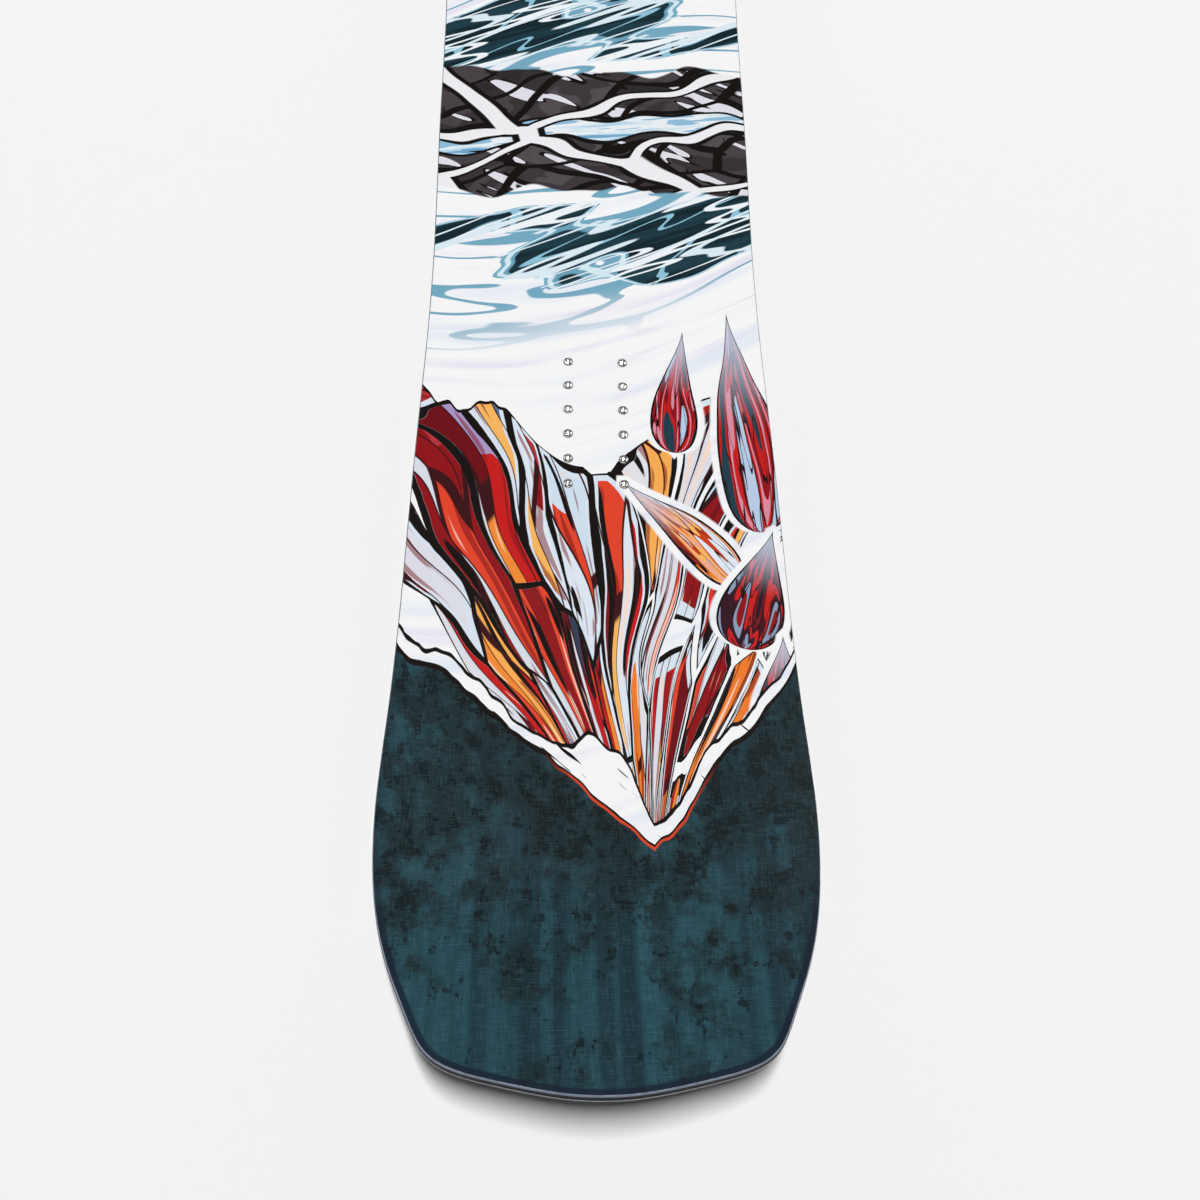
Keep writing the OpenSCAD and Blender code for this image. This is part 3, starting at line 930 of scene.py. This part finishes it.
def drill(piece):
    """Cuts the inserts' holes through a piece."""
    tool = bmesh.new()
    radius, drill_length, drill_middle = 3.6 * MM, 40 * MM, 10 * MM
    for x, y in insert_places():
        bmesh.ops.create_cone(
            tool, cap_ends=True, segments=48, radius1=radius, radius2=radius,
            depth=drill_length, matrix=Matrix.Translation((x, y, drill_middle)),
        )
    mesh = bpy.data.meshes.new("drill")
    tool.to_mesh(mesh)
    tool.free()
    cutter = bpy.data.objects.new("drill", mesh)
    bpy.context.scene.collection.objects.link(cutter)
    cut = piece.modifiers.new("holes", "BOOLEAN")
    cut.operation, cut.solver, cut.object = "DIFFERENCE", "EXACT", cutter
    bpy.context.view_layer.update()
    done = bpy.data.meshes.new_from_object(
        piece.evaluated_get(bpy.context.evaluated_depsgraph_get())
    )
    piece.modifiers.clear()
    piece.data = done
    done.set_sharp_from_angle(angle=SHARP)
    bpy.data.objects.remove(cutter)


def build_upper_side():
    laminate = layer("glass_upper", laminate_corners, rim)
    drill(finish_piece(laminate, "upper_laminate", "glass_laminate", upper_glass_paint))
    foot, edge = sheet_corners
    # Rows of points close to the rim carry the film's distance from it, for its navy border
    border = [(edge[0] + d * MM, edge[1]) for d in (0, 0.8, 2, 4, 7, 11)]
    lines = [rim_points(rim, c, 1) for c in [foot] + border]
    across = 10
    inner = border[-1][0]
    u = rim.u + inner * rim.inward_u
    y = rim.y + inner * rim.inward_y
    for k in range(1, across):
        lines.append(at(u, y * (1 - 2 * k / across), thickness(u)))
    lines += [rim_points(rim, c, -1) for c in border[::-1] + [foot]]
    insets = [c[0] / MM for c in [foot] + border]
    insets += [insets[-1]] * (across - 1) + insets[::-1]
    sheet = sweep("topsheet_print", lines, insets)
    depth = sheet.attributes["mark"].data
    # The bevelled cut is the band of faces outside the border
    for face in sheet.polygons:
        face.material_index = min(depth[i].value for i in face.vertices) < insets[1] - 0.01
    piece = finish_piece(sheet, "topsheet", "topsheet_gloss", print_paint, cut_paint)
    drill(piece)


def insert_corners(node, x, y):
    """An insert's corners in the CAD as (height, radius) pairs from the bottom up."""
    largest_r = 9 * MM
    found = set()
    for v in NODES[node].data.vertices:
        r = math.hypot(v.co.x - x, v.co.y - y)
        if r < largest_r:
            found.add((round(v.co.z, 5), round(r, 5)))
    return sorted(found)


def outer_profile(corners):
    """An insert's outside and mouth as (radius, height) pairs: flange, barrel and neck."""
    bevel = 0.12 * MM
    levels = sorted({h for h, r in corners})
    outer = [max(r for h, r in corners if h == z) for z in levels]
    low, flange_top, shoulder, top = levels[0], levels[1], levels[2], levels[-1]
    flange_r, barrel_r, neck_r = outer[0], outer[2], outer[-1]
    mouth_r = min(r for h, r in corners if h == top)
    return [
        (flange_r - bevel, low), (flange_r, low + bevel), (flange_r, flange_top - bevel),
        (flange_r - bevel, flange_top), (barrel_r, flange_top), (barrel_r, shoulder - bevel),
        (barrel_r - bevel, shoulder), (neck_r, shoulder), (neck_r, top - bevel),
        (neck_r - bevel, top), (mouth_r, top),
    ]


def thread_insert(tool, x, y, corners):
    """One insert turned on a lathe: its outside, a chamfered mouth and the helical thread."""
    sides, rows_a_turn, pitch, thread_depth = 24, 8, 1 * MM, 0.54 * MM
    # Flat crests and roots, with flanks at 60 degrees to each other, as shares of half a pitch
    half_crest, flank_share = 0.25, 0.625
    low, bore = corners[0]
    mouth_low = max(h for h, r in corners if r == bore)
    rows = int((mouth_low - low) / pitch * rows_a_turn)
    bore_levels = [mouth_low - k * pitch / rows_a_turn for k in range(rows)] + [low]
    rings = []
    for r, z in outer_profile(corners) + [(None, z) for z in bore_levels]:
        ring = []
        for k in range(sides):
            a = 2 * math.pi * k / sides
            phase = (z / pitch + k / sides) % 1
            fade = min(1, (mouth_low - z) / pitch)
            flank = (1 - abs(2 * phase - 1) - half_crest) / flank_share
            groove = fade * thread_depth * min(max(flank, 0), 1)
            reach = bore + groove if r is None else r
            ring.append(tool.verts.new((x + reach * math.cos(a), y + reach * math.sin(a), z)))
        rings.append(ring)
    for one, other in zip(rings, rings[1:] + rings[:1]):
        for k in range(sides):
            n = (k + 1) % sides
            tool.faces.new((one[k], one[n], other[n], other[k]))


def build_inserts():
    made = []
    for name, end in (("nose", 1), ("tail", -1)):
        tool = bmesh.new()
        for x, y in insert_places():
            if x * end > 0:
                thread_insert(tool, x, y, insert_corners(f"inserts_{name}", x, y))
        bmesh.ops.recalc_face_normals(tool, faces=tool.faces)
        mesh = bpy.data.meshes.new(f"threaded_inserts_{name}")
        tool.to_mesh(mesh)
        tool.free()
        made.append(finish_piece(mesh, f"inserts_{name}", "insert_steel", insert_paint))
    return made


def finish_carried_nodes():
    """The core's strips and the insert caps keep their CAD meshes, with better materials."""
    for part in frame["record"]["subparts"]:
        material = carried_paint.get(part["material_slot"])
        if material:
            for slot in NODES[part["node"]].material_slots:
                slot.material = material


steel_paint = steel_material()
rubber_paint = rubber_material()
base_paint = base_material()
lower_glass_paint = glass_material("glass_lower", "#16171a", "#2a2c31")
upper_glass_paint = glass_material("glass_upper", "#667082", "#8c95a8")
wall_paint = sanded_material("sanded_wall", "#0a0a0b", "#151618", "#2b2d33")
spacer_paint = sanded_material("sanded_spacer", "#0c0c0e", "#17181b", "#868ea2")
print_paint = make_print_paint()
cut_paint = bevel_material()
insert_paint = insert_material()
carried_paint = {
    "wood_pale": wood_material("wood_pale", "#dcc49a", "#c2a473"),
    "wood_dark": wood_material("wood_dark", "#b88a55", "#98683a"),
    "cap_plastic": cap_material(),
}

build_running_side()
build_walls()
build_upper_side()
inserts = build_inserts()
finish_carried_nodes()

# ---- Stage ----


def add_lamp(name, length, width, distance, power, heading, height):
    """A soft box aimed at the deck: heading and height are degrees, from the tail and the floor."""
    lamp = bpy.data.lights.new(name, "AREA")
    lamp.shape, lamp.size, lamp.size_y, lamp.energy = "RECTANGLE", length, width, power
    turn = Matrix.Rotation(math.radians(heading), 4, "Z") @ Matrix.Rotation(
        math.radians(height - 90), 4, "Y"
    )
    holder = bpy.data.objects.new(name, lamp)
    holder.matrix_world = turn @ Matrix.Translation((0, 0, distance))
    bpy.context.scene.collection.objects.link(holder)
    return holder


def build_floor():
    mesh = bpy.data.meshes.new("floor")
    half, gap = 12, 0.2 * MM
    corners = [(-half, -half), (half, -half), (half, half), (-half, half)]
    mesh.from_pydata([(x, y, cad_low.z - gap) for x, y in corners], [], [(0, 1, 2, 3)])
    mesh.materials.append(floor_material())
    floor = bpy.data.objects.new("floor", mesh)
    bpy.context.scene.collection.objects.link(floor)


def build_world():
    """Pale walls all round, under a dim ceiling that leaves the topsheet free of glare."""
    wall_top, ceiling_edge, wall_light, ceiling_light = 0.1, 0.35, 0.8, 0.035
    world = bpy.data.worlds.new("studio")
    world.use_nodes = True
    nodes, links = world.node_tree.nodes, world.node_tree.links
    split = nodes.new("ShaderNodeSeparateXYZ")
    fade = nodes.new("ShaderNodeMapRange")
    fade.interpolation_type = "SMOOTHSTEP"
    fades = (wall_top, ceiling_edge, wall_light, ceiling_light)
    for socket, value in zip(fade.inputs[1:5], fades):
        socket.default_value = value
    nodes["Background"].inputs["Color"].default_value = (1, 1, 1, 1)
    links.new(nodes.new("ShaderNodeTexCoord").outputs["Generated"], split.inputs[0])
    links.new(split.outputs["Z"], fade.inputs["Value"])
    links.new(fade.outputs[0], nodes["Background"].inputs["Strength"])
    bpy.context.scene.world = world


def build_lamps():
    # Flagged off in reflections, so that no mirror image of it lies on the topsheet
    key = add_lamp("key", 9.6, 2, distance=24, power=5680, heading=0, height=78.5)
    key.visible_glossy = False
    # Seen only in reflections, along the rims; left and right are the camera's
    for name, heading, power in (("left", 90, 50), ("right", -90, 50), ("front", 180, 0.8)):
        strip = add_lamp(f"strip_{name}", 1.6, 0.5, 2.4, power, heading, height=40)
        strip.visible_diffuse = False
    # Lights the inserts alone, so that their threads glint
    glint = add_lamp("glint", 0.4, 0.4, distance=2, power=32, heading=180, height=54)
    lit = bpy.data.collections.new("glint_lit")
    for piece in inserts:
        lit.objects.link(piece)
    glint.light_linking.receiver_collection = lit


build_floor()
build_world()
build_lamps()
bpy.context.scene.view_settings.view_transform = "Standard"
